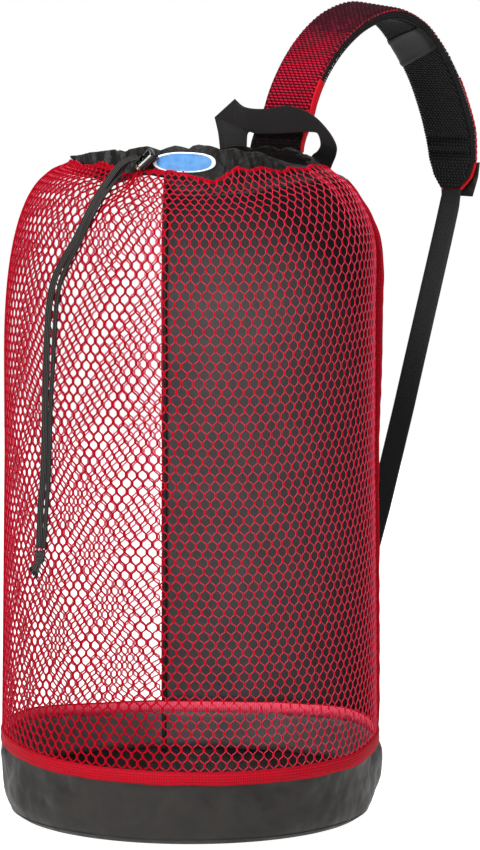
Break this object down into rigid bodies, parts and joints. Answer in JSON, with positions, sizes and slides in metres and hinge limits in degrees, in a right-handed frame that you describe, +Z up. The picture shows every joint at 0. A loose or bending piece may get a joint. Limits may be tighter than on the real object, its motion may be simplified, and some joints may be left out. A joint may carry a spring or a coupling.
{
  "type": "mesh backpack",
  "caption": "Round mesh gear backpack with vinyl base and back panel, gathered drawcord collar with barrel lock, grab handle and a padded shoulder strap on a webbing tail.",
  "frame": {"origin": "centre of the base's flat underside, where the bag stands", "axes": "+Z up through the mouth, back panel and shoulder strap towards +Y, drawcord side towards -Y"},
  "size_m": [0.4066, 0.6742, 0.8574],
  "materials": {
    "vinyl": "semi-gloss coated cloth",
    "net": "knotless knitted polyester net",
    "red_tape": "woven binding tape",
    "nylon": "plain woven nylon",
    "webbing": "ribbed polypropylene webbing",
    "spacer_mesh": "padded spacer mesh, red over black",
    "patch": "moulded soft badge, plain",
    "lock_body": "moulded, polished",
    "lock_plunger": "plated",
    "cord": "flat braid"
  },
  "bodies": {
    "bag": {"base_floor": "vinyl", "base_wall": "vinyl", "base_binding": "red_tape", "net": "net", "back_panel": "vinyl", "seam_binding_right": "red_tape", "seam_binding_left": "red_tape", "collar": "nylon", "collar_patch": "patch", "grab_handle": "webbing", "shoulder_pad": "spacer_mesh", "strap_keeper": "nylon", "strap_tip_tab": "nylon", "strap_tail": "webbing", "cord_lock_barrel": "lock_body", "drawcord_left": "cord", "drawcord_right": "cord", "drawcord_knot": "cord"},
    "plunger": {"cord_lock_plunger": "lock_plunger"}
  },
  "joints": [
    {"name": "lock_press", "type": "slide", "parent": "bag", "child": "plunger", "axis": [0.7047, 0.2358, 0.6691], "range_m": [0, 0.004], "stiffness_N_per_m": 600, "springref_m": -0.002}
  ]
}
